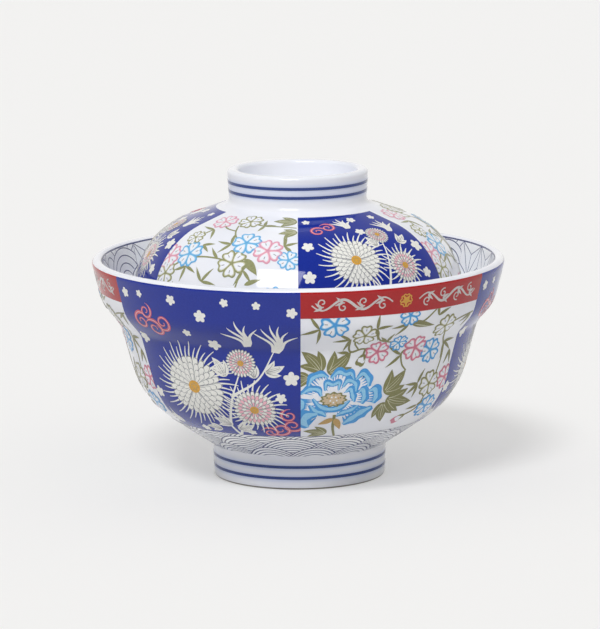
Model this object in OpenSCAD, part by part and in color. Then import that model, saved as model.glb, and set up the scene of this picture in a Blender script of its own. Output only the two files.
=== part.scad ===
// Lidded donburi bowl: a stepped porcelain bowl on a foot ring, and a domed lid
// with a grip ring that drops inside the rim and rests on a ledge in the wall.
// The bowl stands on z = 0 and both pieces are turned about the z axis.

/* [Bowl] */
// Diameter across the lip
rim_d = 160.4; // [156:0.2:172]
// Height from the table to the top of the lip
bowl_h = 86.2; // [76:0.2:96]
// Thickness of the thrown wall, measured square to it
wall = 4; // [3:0.1:4.6]
// Diameter of the outside where the collar starts, above the step
collar_d = 153.2; // [149:0.2:154]
// Height of the collar, from the step to the lip
collar_h = 16.8; // [14:0.2:22]
// Diameter of the outside at the bottom of the step
step_d = 139.4; // [137:0.2:142]
// Height of the step, from the belly's wall to the collar
step_h = 8.2; // [7:0.2:10]
// Diameter of the outside at the turn of the belly
belly_d = 122.8; // [114:0.2:128]
// Height of the outside at the turn of the belly
belly_z = 31.6; // [28:0.2:36]

/* [Foot] */
// Diameter of the foot ring
foot_d = 67.8; // [60:0.2:76]
// Height of the foot ring, up to the belly
foot_h = 12.8; // [10:0.2:15]
// Width of the face that the bowl stands on
foot_face_w = 4.2; // [3:0.1:6]
// Depth of the hollow inside the foot ring
foot_hollow = 6.6; // [5:0.1:8]
// Thickness of the floor above that hollow
floor_t = 5.6; // [4:0.1:8]

/* [Lid] */
// Height from the lid's edge to the top of its grip ring
lid_h = 56.1; // [52:0.1:64]
// Thickness of the lid's wall, measured square to it
lid_wall = 3.8; // [3:0.1:4.6]
// Diameter of the outside at the shoulder of the dome
shoulder_d = 117.6; // [110:0.2:120]
// Height of the shoulder of the dome above the lid's edge
shoulder_h = 31.8; // [29:0.2:36]

/* [Grip ring] */
// Diameter of the grip ring at its top
ring_d = 54.8; // [46:0.2:60]
// Height of the grip ring above the dome
ring_h = 13; // [11:0.2:16]
// Width of the grip ring's top
ring_w = 4.2; // [3.4:0.1:5]
// Depth of the hollow inside the grip ring
ring_hollow = 11; // [6:0.2:12]

/* [Lid seat] */
// Height of the ledge that the lid rests on, above the bottom of the step
seat_up = 3.2; // [2:0.1:4]
// Width of that ledge
seat_w = 4.4; // [3.6:0.1:5]
// Play between the lid's edge and the outer corner of the ledge
lid_play = 0.5; // [0.3:0.1:1.2]

/* [Roundings] */
// Radius of the belly's turn
belly_r = 35; // [15:1:40]
// Radius of the hollow turn below the step
step_r = 5; // [2:0.5:8]
// Radius of the turn where the collar starts
collar_r = 16; // [4:0.5:20]
// Radius of the lid's shoulder
shoulder_r = 32; // [20:1:36]
// Radius of the hollow turn inside, from floor to wall
floor_r = 30; // [15:1:40]
// Radius of the lip's two edges
lip_r = 1.9; // [1:0.1:2]
// Radius of the grip ring's top edges
ring_r = 1.5; // [0.5:0.1:1.6]
// Radius where a ring joins a wall, and in the corners of the hollows
root_r = 2.6; // [1:0.1:4]
// Radius of the foot's edges and of the edges at the lid seat
edge_r = 1; // [0.5:0.1:1.4]

/* [Hidden] */
// Draft of the rings: how far each leans over its height
ring_lean = 0.7;
foot_lean = 0.4;
hollow_lean = 1.6;
// Largest share of a side that the roundings at its two ends may take
side_share = 0.96;
// Turn of one step along a rounding, in degrees
arc_step = 5;
// Sides of a line, looking along it
on_right = -1;
on_left = 1;
$fn = 180;

// Geometry of outlines: points are [radius, height]
function unit(v) = v / norm(v);
function cross2(a, b) = a.x * b.y - a.y * b.x;
// Point where the line through a and b meets the line through c and d
function meet(a, b, c, d) = a + (b - a) * cross2(c - a, d - c) / cross2(b - a, d - c);
// Line through a and b, shifted by t to its left
function shifted(a, b, t) =
    let (n = [a.y - b.y, b.x - a.x] / norm(b - a) * t) [a + n, b + n];
// Point of a line at the height z
function at_height(line, z) =
    line[0] + (line[1] - line[0]) * (z - line[0].y) / (line[1].y - line[0].y);
// Line from p that touches the circle of radius r about c, on its right or left
function touching(p, c, r, side) =
    let (a = atan2(c.y - p.y, c.x - p.x) + side * asin(r / norm(c - p))) [p, p + [cos(a), sin(a)]];
// Point where two lines cross
function joined(p, q) = meet(p[0], p[1], q[0], q[1]);

// Corner b between a and c as an arc of radius r
function rounded(a, b, c, r) =
    let (
        u = unit(a - b),
        v = unit(c - b),
        half = acos(u * v) / 2,
        middle = b + unit(u + v) * r / sin(half),
        from = b + u * r / tan(half) - middle,
        way = sign(cross2(u, v)),
        turn = 180 - 2 * half,
        steps = ceil(turn / arc_step)
    )
    [for (i = [0:steps])
        let (t = -way * turn * i / steps)
        middle + [from.x * cos(t) - from.y * sin(t), from.x * sin(t) + from.y * cos(t)]];

// Length that the rounding of corner i takes from the two sides next to it
function taken(corners, i) =
    let (
        n = len(corners),
        b = corners[i][0],
        u = unit(corners[(i + n - 1) % n][0] - b),
        v = unit(corners[(i + 1) % n][0] - b)
    )
    corners[i][1] / tan(acos(u * v) / 2);

// Outline through corners [point, radius], each rounded as far as its sides have room
function outline(corners) =
    let (n = len(corners), takes = [for (i = [0:n - 1]) taken(corners, i)])
    [for (i = [0:n - 1])
        let (
            before = (i + n - 1) % n,
            after = (i + 1) % n,
            a = corners[before][0],
            b = corners[i][0],
            c = corners[after][0],
            room_before = side_share * norm(a - b) / (takes[before] + takes[i]),
            room_after = side_share * norm(c - b) / (takes[i] + takes[after])
        )
        each (takes[i] > 0 ? rounded(a, b, c, corners[i][1] * min(1, room_before, room_after)) : [b])];

module turned(corners) {
    rotate_extrude() polygon(outline(corners));
}

// Outside of the bowl, from the foot to the lip
foot_top = [foot_d / 2, foot_h];
belly = [belly_d / 2, belly_z];
collar = [collar_d / 2, bowl_h - collar_h];
step = [step_d / 2, collar.y - step_h];
lip_round = [rim_d / 2 - lip_r, bowl_h - lip_r];
lip = at_height(touching(collar, lip_round, lip_r, on_right), bowl_h);

// Inside of the bowl, a wall's thickness from the outside
floor_z = foot_hollow + floor_t;
under_in = shifted(foot_top, belly, wall);
belly_in = shifted(belly, step, wall);
step_in = shifted(step, collar, wall);
collar_in = shifted(collar, lip, wall);
seat_z = step.y + seat_up;
seat_out = at_height(step_in, seat_z);
seat_in = seat_out - [seat_w, 0];

// Outside and inside of the lid, above its seat
lid_top = seat_z + lid_h;
shoulder = [shoulder_d / 2, seat_z + shoulder_h];
lid_edge_round = seat_out - [lid_play + edge_r, -edge_r];
lid_edge = at_height(touching(shoulder, lid_edge_round, edge_r, on_left), seat_z);
ring_root = [ring_d / 2 - ring_lean, lid_top - ring_h];
side_in = shifted(lid_edge, shoulder, lid_wall);
dome_in = shifted(shoulder, ring_root, lid_wall);
crest_z = lid_top - ring_hollow - lid_wall;

module bowl() {
    color("ghostwhite") turned([
        [[0, foot_hollow], 0],
        [[foot_d / 2 - foot_lean - foot_face_w - hollow_lean, foot_hollow], root_r],
        [[foot_d / 2 - foot_lean - foot_face_w, 0], edge_r],
        [[foot_d / 2 - foot_lean, 0], edge_r],
        [foot_top, root_r],
        [belly, belly_r],
        [step, step_r],
        [collar, collar_r],
        [lip, lip_r],
        [at_height(collar_in, bowl_h), lip_r],
        [joined(step_in, collar_in), collar_r + wall],
        [seat_out, edge_r],
        [seat_in, edge_r],
        [joined(under_in, belly_in), belly_r - wall],
        [at_height(under_in, floor_z), floor_r],
        [[0, floor_z], 0],
    ]);
}

module lid() {
    color("ghostwhite") turned([
        [[0, crest_z], 0],
        [at_height(dome_in, crest_z), floor_r],
        [joined(side_in, dome_in), shoulder_r - lid_wall],
        [at_height(side_in, seat_z), edge_r],
        [lid_edge, edge_r],
        [shoulder, shoulder_r],
        [ring_root, root_r],
        [[ring_d / 2, lid_top], ring_r],
        [[ring_d / 2 - ring_w, lid_top], ring_r],
        [[ring_d / 2 - ring_w - hollow_lean, lid_top - ring_hollow], root_r],
        [[0, lid_top - ring_hollow], 0],
    ]);
}

bowl();
lid();
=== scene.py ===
# %% [markdown]
# # Glazing and decorating a lidded donburi bowl
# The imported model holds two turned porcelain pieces: a bowl on a foot ring, and a domed lid with a
# grip ring that rests on a ledge inside the bowl's collar. This lesson gives both a clear glaze,
# prints their enamel decoration panel by panel, and sets them in a small studio. All lengths are
# in metres, the table is at z = 0, both pieces turn about z, and the viewer stands on the -y side.

import bpy
import numpy as np
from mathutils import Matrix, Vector


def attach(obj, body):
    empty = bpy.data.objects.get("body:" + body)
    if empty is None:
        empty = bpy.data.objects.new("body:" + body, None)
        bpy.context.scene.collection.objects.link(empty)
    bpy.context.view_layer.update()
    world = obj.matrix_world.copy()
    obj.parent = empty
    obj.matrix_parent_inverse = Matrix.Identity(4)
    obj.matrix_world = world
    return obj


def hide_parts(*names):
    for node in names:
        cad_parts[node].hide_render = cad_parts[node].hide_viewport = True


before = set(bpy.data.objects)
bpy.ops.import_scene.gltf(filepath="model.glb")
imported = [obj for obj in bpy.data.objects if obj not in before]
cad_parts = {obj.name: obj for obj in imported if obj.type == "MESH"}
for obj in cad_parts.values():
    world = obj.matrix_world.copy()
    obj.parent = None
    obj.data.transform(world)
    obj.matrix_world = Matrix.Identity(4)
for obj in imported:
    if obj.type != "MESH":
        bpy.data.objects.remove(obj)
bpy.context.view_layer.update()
MM = 0.001
TURN = 2 * np.pi

# %% [markdown]
# ## Finding the outlines
# A piece thrown on a wheel is one outline carried round an axis, so the outline tells everything
# about its surface. It could be typed in again from the drawing, but then the two could drift
# apart. Instead it is read back from the CAD mesh: the mesh has a ring of points for each point of
# the outline, and the rings that share a triangle are neighbours.

# %% Read the rings of a node in order
SEAM = 1e-6


def outline_rings(node):
    """Rings of a turned node as (radius, height), in order from its lower end.

    One point of each ring lies on the seam, at y = 0 and x > 0. Every vertex belongs to the ring
    that is nearest in (radius, height), and the walk goes on to the nearest neighbour ring.
    """
    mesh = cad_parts[node].data
    mesh.calc_loop_triangles()
    places = np.empty((len(mesh.vertices), 3), np.float32)
    mesh.vertices.foreach_get("co", places.ravel())
    corners = np.empty((len(mesh.loop_triangles), 3), np.int32)
    mesh.loop_triangles.foreach_get("vertices", corners.ravel())
    flat = np.stack([np.hypot(places[:, 0], places[:, 1]), places[:, 2]], axis=1)
    rings = np.unique(flat[(np.abs(places[:, 1]) < SEAM) & (places[:, 0] > SEAM)].round(7), axis=0)
    nearest = ((flat[:, None] - rings[None]) ** 2).sum(axis=2).argmin(axis=1)[corners]
    near = np.zeros((len(rings), len(rings)), bool)
    near[nearest, np.roll(nearest, 1, axis=1)] = True
    near |= near.T
    np.fill_diagonal(near, False)
    gaps = np.where(near, np.linalg.norm(rings[:, None] - rings[None], axis=2), np.inf)
    ends = np.flatnonzero(near.sum(axis=1) == 1)
    walk = [int(ends[rings[ends, 1].argmin()])]
    while len(walk) < len(rings):
        gaps[:, walk[-1]] = np.inf
        walk.append(int(gaps[walk[-1]].argmin()))
    return rings[walk]


print("rings:", {node: len(outline_rings(node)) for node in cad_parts})

# %% [markdown]
# ## Smoothing the outlines
# The CAD outline is a chain of short chords, fine for solids but faceted under a mirror-like
# glaze. A cubic curve through the same points keeps the shape and makes it smooth. The long
# chords are the straight walls, which are cut up first, so that the curve can't bulge there.

# %% Smooth a chain of points
STRAIGHT_CHORD = 3.2 * MM
OUTLINE_STEP = 1.0 * MM
RING_GAP = 0.25 * MM


def chain_lengths(points):
    """Length along a chain of points, from its first point to each."""
    return np.concatenate([[0], np.cumsum(np.linalg.norm(np.diff(points, axis=0), axis=1))])


def smooth(points, along):
    """Cubic Hermite curve through points, at the lengths `along` of their chain.

    Between two points a gap g apart, with slopes m and t from 0 to 1, it is
    (2t^3 - 3t^2 + 1) p0 + (t^3 - 2t^2 + t) g m0 + (3t^2 - 2t^3) p1 + (t^3 - t^2) g m1.
    """
    lengths = chain_lengths(points)
    slope = np.gradient(points, lengths, axis=0)
    i = np.clip(np.searchsorted(lengths, along, side="right") - 1, 0, len(points) - 2)
    gap = (lengths[i + 1] - lengths[i])[:, None]
    t = (along - lengths[i])[:, None] / gap
    return ((2 * t**3 - 3 * t**2 + 1) * points[i] + (t**3 - 2 * t**2 + t) * gap * slope[i]
            + (3 * t**2 - 2 * t**3) * points[i + 1] + (t**3 - t**2) * gap * slope[i + 1])


def cut_up(lengths, step, longer_than=0.0):
    """Lengths of a chain with the gaps over a limit cut into equal parts of at most `step`."""
    gaps = np.diff(lengths)
    parts = np.where(gaps > longer_than, np.ceil(gaps / step), 1).astype(int)
    inside = np.arange(parts.sum()) - np.repeat(np.cumsum(parts) - parts, parts)
    starts = np.repeat(lengths[:-1], parts) + inside * np.repeat(gaps / parts, parts)
    return np.append(starts, lengths[-1])


print("a length of 1, cut up by 0.4:", cut_up(np.array([0.0, 1.0]), 0.4).round(2))

# %% Outlines as functions of length
class Outline:
    """Outline of a turned piece: radius, height and outward normal over its length s.

    It runs with the air on its right, so the normal is (dz/ds, -dr/ds). It rises from its
    lowest point to its highest on the outside, and falls from there on the inside.
    """

    def __init__(self, node):
        rings = outline_rings(node)
        apart = np.append(True, np.diff(chain_lengths(rings) // RING_GAP) > 0)
        rings = np.vstack([[[0, rings[0, 1]]], rings[apart], [[0, rings[-1, 1]]]])
        lengths = chain_lengths(rings)
        walls = cut_up(lengths, OUTLINE_STEP, STRAIGHT_CHORD)
        chain = np.stack([np.interp(walls, lengths, rings[:, i]) for i in (0, 1)], axis=1)
        curve = smooth(chain, cut_up(chain_lengths(chain), OUTLINE_STEP))
        self.node = node
        self.s = chain_lengths(curve)
        self.r, self.z = curve.T
        slope = np.gradient(curve, self.s, axis=0)
        slope /= np.linalg.norm(slope, axis=1, keepdims=True)
        self.nr, self.nz = slope[:, 1], -slope[:, 0]
        self.foot, self.crest = int(self.z.argmin()), int(self.z.argmax())

    def radius(self, s):
        """Radius at the length s."""
        return np.interp(s, self.s, self.r)

    def rising(self, z):
        """Length at which the outside reaches the height z."""
        side = slice(self.foot, self.crest + 1)
        return float(np.interp(z, self.z[side], self.s[side]))

    def falling(self, z):
        """Length at which the inside comes down to the height z."""
        side = slice(self.crest, None)
        return float(np.interp(-z, -self.z[side], self.s[side]))

    def surface(self, angle, s, lift):
        """Points and normals at an angle from -y towards +x and a lift along the normal.

        The point is (R sin a, -R cos a, z + lift nz) with R = r + lift nr.
        """
        r, z, nr, nz = (np.interp(s, self.s, row) for row in (self.r, self.z, self.nr, self.nz))
        reach = r + lift * nr
        points = np.stack([reach * np.sin(angle), -reach * np.cos(angle), z + lift * nz], axis=-1)
        return points, np.stack([nr * np.sin(angle), -nr * np.cos(angle), nz], axis=-1)


bowl, lid = Outline("bowl"), Outline("lid")
for shape in (bowl, lid):
    print(shape.node, "outline:", len(shape.s), "points,", round(shape.s[-1] / MM, 1), "mm long")

# %% [markdown]
# ## Colours and shader nodes
# Every colour is written as the hex value that a painter would pick from a screen. Blender mixes
# light in linear values, so one function turns hex to linear. One more function adds a node to a
# material, sets it up and links it, which keeps the materials short.

# %% Colour and node helpers
NOISE_LOW, NOISE_HIGH = 0.35, 0.65


def linear(hex_colour):
    """sRGB hex to linear RGBA: c / 12.92 up to 0.04045, else ((c + 0.055) / 1.055) ** 2.4."""
    c = np.array([int(hex_colour[i:i + 2], 16) for i in (1, 3, 5)]) / 255
    return (*np.where(c <= 0.04045, c / 12.92, ((c + 0.055) / 1.055) ** 2.4).tolist(), 1.0)


def add_node(tree, kind, inputs, **settings):
    """Adds a node with its settings. An input that is a socket gets linked, others are set."""
    node = tree.nodes.new(kind)
    for name, value in settings.items():
        setattr(node, name, value)
    for name, value in inputs.items():
        if isinstance(value, bpy.types.NodeSocket):
            tree.links.new(value, node.inputs[name])
        else:
            node.inputs[name].default_value = value
    return node


def new_material(name):
    """A material with its Principled shader, and its Object coordinates."""
    material = bpy.data.materials.new(name)
    material.use_nodes = True
    tree = material.node_tree
    where = add_node(tree, "ShaderNodeTexCoord", {}).outputs["Object"]
    return material, tree, tree.nodes["Principled BSDF"], where


def mottled(tree, where, size, detail, low, high):
    """Soft shifts between two hex tones in patches of a size, mixed by the middle part of a noise."""
    noise = add_node(tree, "ShaderNodeTexNoise", {"Vector": where, "Scale": 1 / size, "Detail": detail})
    share = add_node(tree, "ShaderNodeMapRange", {
        "Value": noise.outputs["Fac"], "From Min": NOISE_LOW, "From Max": NOISE_HIGH})
    tones = add_node(tree, "ShaderNodeMixRGB", {
        "Fac": share.outputs["Result"], "Color1": linear(low), "Color2": linear(high)})
    return tones.outputs["Color"]


print("cobalt in linear light:", [round(c, 3) for c in linear("#172c90")])

# %% [markdown]
# ## Porcelain under a clear glaze
# Porcelain is fired white clay under a layer of glass. The glass is smooth and pools a little
# unevenly, so the white shifts softly over a few centimetres, and cobalt bleeds a pale blue halo
# into the glaze beside each painted stripe. The face that stands on the kiln shelf stays bare and
# matt, and its dark stone grey is painted shade, for the contact shadow under the foot. The halo
# and the bare face with its painted shade are set per vertex by the skin that follows.

# %% Glazed porcelain
GLAZE_POOL = 30 * MM
GLAZE_ROUGHNESS, BARE_ROUGHNESS = 0.06, 0.55
GLAZE_IOR = 1.5


def glazed_porcelain():
    """White body with a glossy coat: soft bluish shifts, pale blue halos, and a matt standing face
    tinted dark as painted contact shadow.
    """
    material, tree, shader, where = new_material("glazed porcelain")
    colour = mottled(tree, where, GLAZE_POOL, 1.0, "#e7eaf4", "#eff1f8")
    halo, bare_painted_shade = (add_node(tree, "ShaderNodeAttribute", {}, attribute_name=name).outputs["Fac"]
                  for name in ("halo", "bare_painted_shade"))
    # painted shade: the standing face is tinted dark stone grey for the contact shadow under the foot,
    # and made matt as bare clay
    for share, tone in ((halo, "#b9c6ea"), (bare_painted_shade, "#6f6b60")):
        colour = add_node(tree, "ShaderNodeMixRGB", {
            "Fac": share, "Color1": colour, "Color2": linear(tone)}).outputs["Color"]
    rough = add_node(tree, "ShaderNodeMapRange", {
        "Value": bare_painted_shade, "To Min": GLAZE_ROUGHNESS, "To Max": BARE_ROUGHNESS})
    tree.links.new(colour, shader.inputs["Base Color"])
    tree.links.new(rough.outputs["Result"], shader.inputs["Roughness"])
    shader.inputs["IOR"].default_value = GLAZE_IOR
    return material


PORCELAIN = glazed_porcelain()
print("material:", PORCELAIN.name)

# %% [markdown]
# ## The glazed skins
# The bowl and the lid could keep their CAD meshes with smooth shading, but the facets would show
# in the highlights. Each gets a skin instead: its smooth outline at evenly spaced turns about the
# axis, with a point at each pole, and with normals taken from the outline itself.

# %% Meshes from arrays


def quads_between(near, far):
    """Quads between two closed rows of vertices, whose last axis runs round the row."""
    return np.stack([near, np.roll(near, -1, -1), np.roll(far, -1, -1), far], axis=-1).reshape(-1, 4)


def fans(row, tip):
    """Triangles from a closed row of vertices to one tip vertex."""
    tips = np.broadcast_to(tip, row.shape)
    return np.stack([row, np.roll(row, -1, -1), tips], axis=-1).reshape(-1, 3)


def new_object(name, data):
    """An object for a mesh, a lamp or a camera, linked to the scene."""
    thing = bpy.data.objects.new(name, data)
    bpy.context.scene.collection.objects.link(thing)
    return thing


def dressed(name, body, material, points, normals, faces):
    """A piece from arrays, with the surface's own normals, that rides on a body."""
    mesh = bpy.data.meshes.new(name)
    mesh.from_pydata(points.tolist(), [], faces)
    mesh.shade_smooth()
    mesh.normals_split_custom_set_from_vertices(normals.tolist())
    mesh.materials.append(material)
    piece = new_object(name, mesh)
    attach(piece, body)
    return piece


print("quads between two rows of 3:", quads_between(*np.arange(6).reshape(2, 3)).tolist())

# %% Painted stripes and the two skins
COLUMNS = 216
FOOT_STRIPES = [bowl.rising(z * MM) for z in (4.55, 8.9)]
RING_STRIPES = [lid.rising(z * MM) for z in (112.4, 115.9)]
HALO_WIDTH = 1.3 * MM
BARE_AND_SHADE_HEIGHT = 0.65 * MM


def glazed_skin(shape, stripes):
    """The outline turned about z: point (s, a) is the outline's surface at no lift."""
    angle = np.linspace(0, TURN, COLUMNS, endpoint=False)
    points, normals = shape.surface(*np.meshgrid(angle, shape.s[1:-1]), 0.0)
    poles, pole_normals = shape.surface(np.zeros(2), shape.s[[0, -1]], 0.0)
    corner = np.arange(points.size // 3).reshape(points.shape[:2])
    first, last = corner.size, corner.size + 1
    faces = quads_between(corner[:-1], corner[1:]).tolist()
    faces += fans(corner[0], first)[:, [1, 0, 2]].tolist() + fans(corner[-1], last).tolist()
    piece = dressed(shape.node + "_glaze", shape.node, PORCELAIN,
                    np.vstack([points.reshape(-1, 3), poles]),
                    np.vstack([normals.reshape(-1, 3), pole_normals]), faces)
    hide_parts(shape.node)
    halo = np.exp(-((shape.s[:, None] - np.array(stripes)) / HALO_WIDTH) ** 2).sum(axis=1)
    # the lowest band is bare and matt, and carries the painted contact shadow
    bare_painted_shade = shape.z < BARE_AND_SHADE_HEIGHT
    for name, value in (("halo", halo), ("bare_painted_shade", bare_painted_shade)):
        spread = np.append(np.repeat(value[1:-1], COLUMNS), value[[0, -1]]).astype(np.float32)
        piece.data.attributes.new(name, "FLOAT", "POINT").data.foreach_set("value", spread)
    return piece


for shape, stripes in ((bowl, FOOT_STRIPES), (lid, RING_STRIPES)):
    skin = glazed_skin(shape, stripes)
    print(skin.name, "faces:", len(skin.data.polygons))

# %% [markdown]
# ## Enamel as thin solids
# The decoration is a printed transfer, fired into the glaze. An image texture could carry it, but
# it would be only as sharp as its pixels. Here each colour is real geometry instead: flat closed
# solids that follow the outline, from 0.06 mm thick for a ground to 0.4 mm for the petals on top.
# There are two kinds: strokes along a line, and shapes filled from their edge to their middle. A
# field says where on the surface they go, and pushes what would cross its border back to it.

# %% Fields on the surface
SQUEEZE = 0.002


class Field:
    """Part of a turned surface: between two lengths of the outline, about a middle angle.

    Places in it are given across, from -1 to 1, and up, from 0 to 1.
    """

    def __init__(self, shape, low, high, middle=0.0, half=np.pi):
        self.shape = shape
        self.low, self.high = low, high
        self.way = np.sign(high - low)
        self.middle, self.half = middle, half

    def at(self, across, up):
        """Angle and length at a place."""
        return self.middle + self.half * across, self.low + (self.high - self.low) * up

    def spot(self, across, up, u, v, tilt=0.0):
        """Angles and lengths of points (u, v) in mm about a place, turned left by a tilt in degrees."""
        turn = np.radians(tilt)
        angle, s = self.at(across, up)
        s = s + self.way * MM * (u * np.sin(turn) + v * np.cos(turn))
        return angle + MM * (u * np.cos(turn) - v * np.sin(turn)) / self.shape.radius(s), s

    def hold(self, angle, s):
        """Squeezes what lies outside the field to a hair's width at its border."""
        s = held(s, min(self.low, self.high), max(self.low, self.high))
        if self.half < np.pi:
            angle = held(angle, self.middle - self.half, self.middle + self.half)
        return angle, s


def held(value, low, high):
    """Values between two limits, with the rest scaled down to a small share of its distance."""
    inside = np.clip(value, low, high)
    return inside + SQUEEZE * (value - inside)


print("1.5 held between 0 and 1:", held(1.5, 0, 1))

# %% Strokes
LIFT, LAYER, SINK = 0.06 * MM, 0.025 * MM, 0.05 * MM
FINE = 0.04 * MM
ENAMEL = {}


def fire(field, colour, angle, s, lift, quads, triangles=()):
    """Keeps a solid for its body and colour, with its points set on the surface."""
    points, normals = field.shape.surface(*field.hold(angle, s), lift)
    solids = ENAMEL.setdefault((field.shape.node, colour), [])
    solids.append((points.reshape(-1, 3), normals.reshape(-1, 3), quads, triangles))


def strokes(field, colour, angle, s, half, layer=1, across=2, closed=False):
    """Flat lines: k rows of n points (angle, s), each `half` wide to either side.

    The left of a line is its direction turned by a quarter in the surface, so a point at
    side c from 1 to -1 is (a, s) + c half (-ds / r, r da) / |(r da, ds)|.
    """
    angle, s, half = np.broadcast_arrays(np.atleast_2d(angle), np.atleast_2d(s), half)
    if closed:
        turn = (np.roll(angle, -1, 1) - np.roll(angle, 1, 1) + np.pi) % TURN - np.pi
        rise = np.roll(s, -1, 1) - np.roll(s, 1, 1)
    else:
        turn, rise = np.gradient(angle, axis=1), np.gradient(s, axis=1)
    r = field.shape.radius(s)
    size = np.hypot(r * turn, rise)
    side = np.maximum(half, FINE)[..., None] * np.linspace(1, -1, across)
    wide = angle[..., None] - side * (rise / size / r)[..., None]
    along = s[..., None] + side * (r * turn / size)[..., None]
    corner = np.arange(2 * wide.size).reshape(*s.shape, 2 * across)
    lift = np.repeat([LIFT + layer * LAYER, -SINK], across)
    quads = [quads_between(corner, np.roll(corner, -1, 1)) if closed
             else quads_between(corner[:, :-1], corner[:, 1:])]
    if not closed:
        top, under = corner[..., :across], corner[..., :across - 1:-1]
        most, rest = slice(None, -1), slice(1, None)
        for end, a, b in ((0, rest, most), (-1, most, rest)):
            rim, root = top[:, end], under[:, end]
            cap = np.stack([rim[:, a], rim[:, b], root[:, b], root[:, a]], axis=-1)
            quads.append(cap.reshape(-1, 4))
    fire(field, colour, np.concatenate([wide, wide[..., ::-1]], axis=2),
         np.concatenate([along, along[..., ::-1]], axis=2), lift, np.concatenate(quads))


print("enamel thickness: %.3f mm and up" % (LIFT / MM))

# %% Filled shapes and grounds
CELL = 1.5 * MM


def shapes(field, colour, angle, s, layer=1):
    """Filled shapes: k outlines of m points, each with rings c + f (outline - c) about its middle c."""
    angle, s = np.atleast_2d(angle), np.atleast_2d(s)
    middle, height = angle.mean(axis=1)[:, None, None], s.mean(axis=1)[:, None, None]
    da, ds = angle[:, None] - middle, s[:, None] - height
    turns_right = (da * np.roll(ds, -1, 2) - np.roll(da, -1, 2) * ds).sum(axis=2, keepdims=True) < 0
    da, ds = np.where(turns_right, da[..., ::-1], da), np.where(turns_right, ds[..., ::-1], ds)
    reach = np.hypot(da * field.shape.radius(s)[:, None], ds).max()
    share = np.linspace(1, 0, int(np.ceil(reach / CELL)) + 1)[:-1, None]
    wide = np.append((middle + share * da).reshape(len(s), -1), middle[:, 0], axis=1)
    along = np.append((height + share * ds).reshape(len(s), -1), height[:, 0], axis=1)
    corner = np.arange(2 * wide.size).reshape(2, *wide.shape)
    rings, tip = corner[..., :-1].reshape(2, len(s), len(share), -1), corner[..., -1:]
    quads = [quads_between(rings[0, :, :-1], rings[0, :, 1:]),
             quads_between(rings[1, :, 1:], rings[1, :, :-1]),
             quads_between(rings[1, :, 0], rings[0, :, 0])]
    triangles = [fans(rings[0, :, -1], tip[0]), fans(rings[1, :, -1], tip[1])[:, [1, 0, 2]]]
    lift = np.array([LIFT + layer * LAYER, -SINK])[:, None, None]
    fire(field, colour, np.stack([wide, wide]), np.stack([along, along]), lift,
         np.concatenate(quads), np.concatenate(triangles))


def ground(field, colour):
    """An even ground: one stroke up the middle of a field, r times its half angle wide."""
    s = np.linspace(field.low, field.high, int(abs(field.high - field.low) / (0.5 * CELL)) + 2)
    half = field.half * field.shape.radius(s)
    across = int(2 * half.max() / CELL) + 2
    strokes(field, colour, np.full_like(s, field.middle), s, half, 0, across)


print("cells of a filled shape: up to %.1f mm" % (CELL / MM))

# %% [markdown]
# ## Stripes and grounds
# Six panels run round the bowl and six round the lid, each a sixth of a turn, by turns cobalt and
# white. On the bowl an iron red band crosses the top of each white panel. The foot and the grip
# ring carry two thin cobalt stripes each. A ground could be a lifted copy of the skin, but as one
# wide stroke it is closed at its edges like every other solid. White panels need no ground, since
# the glaze is white.

# %% Panels and bands
PANEL_COUNT = 6
PANEL_HALF = TURN / PANEL_COUNT / 2
PANEL_FOOT, WAVE_FOOT = 24.7 * MM, 13.6 * MM
BAND_TOP, BAND_FOOT = 85.0 * MM, 74.8 * MM
LID_PANEL_FOOT, LID_PANEL_TOP = 70.0 * MM, 105.7 * MM
BOWL_TURN = np.radians(0.6)


def sectors(shape, low, high, first=0.0):
    """Six fields round a piece, between two lengths of its outline."""
    return [Field(shape, low, high, first + 2 * PANEL_HALF * k, PANEL_HALF) for k in range(PANEL_COUNT)]


def panels(shape, low, high, first):
    """Every second panel round a piece, between two heights of its outside."""
    return sectors(shape, shape.rising(low), shape.rising(high), first)[::2]


bowl_blue = panels(bowl, PANEL_FOOT, BAND_TOP, BOWL_TURN - PANEL_HALF)
bowl_white = panels(bowl, PANEL_FOOT, BAND_FOOT, BOWL_TURN + PANEL_HALF)
bowl_bands = panels(bowl, BAND_FOOT, BAND_TOP, BOWL_TURN + PANEL_HALF)
lid_blue = panels(lid, LID_PANEL_FOOT, LID_PANEL_TOP, PANEL_HALF)
lid_white = panels(lid, LID_PANEL_FOOT, LID_PANEL_TOP, -PANEL_HALF)
for panel in bowl_blue + lid_blue:
    ground(panel, "cobalt")
for panel in bowl_bands:
    ground(panel, "iron_red")
print("grounds:", {key: len(solids) for key, solids in ENAMEL.items()})

# %% Stripes
STRIPE_TURNS = np.linspace(0, TURN, 360, endpoint=False)
STRIPE_HALF = 0.57 * MM


def stripe(shape, colour, s, half):
    """A line all round a piece, at one length of its outline."""
    whole = Field(shape, 0.0, shape.s[-1])
    strokes(whole, colour, STRIPE_TURNS, np.full_like(STRIPE_TURNS, s), half, closed=True)


for shape, stripes in ((bowl, FOOT_STRIPES), (lid, RING_STRIPES)):
    for s in stripes:
        stripe(shape, "line_blue", s, STRIPE_HALF)
print("cobalt stripes:", len(FOOT_STRIPES) + len(RING_STRIPES))

# %% [markdown]
# ## Blue sea waves
# Seigaiha, the old pattern of overlapping wave scales, fills patches inside the collar. It could
# be painted scale over scale, but the part of each arc that the next row hides is known, so only
# what shows is drawn. With scales of unit radius, 2 apart in a row and rows half a unit apart, the
# arc of radius p shows up to the angle at which p^2 + 1/4 = p (2 sin f - cos f), which is
# f = atan(1/2) + asin((p^2 + 1/4) / (p sqrt 5)).

# %% Wave scales
WAVE_POINTS = 17


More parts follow.
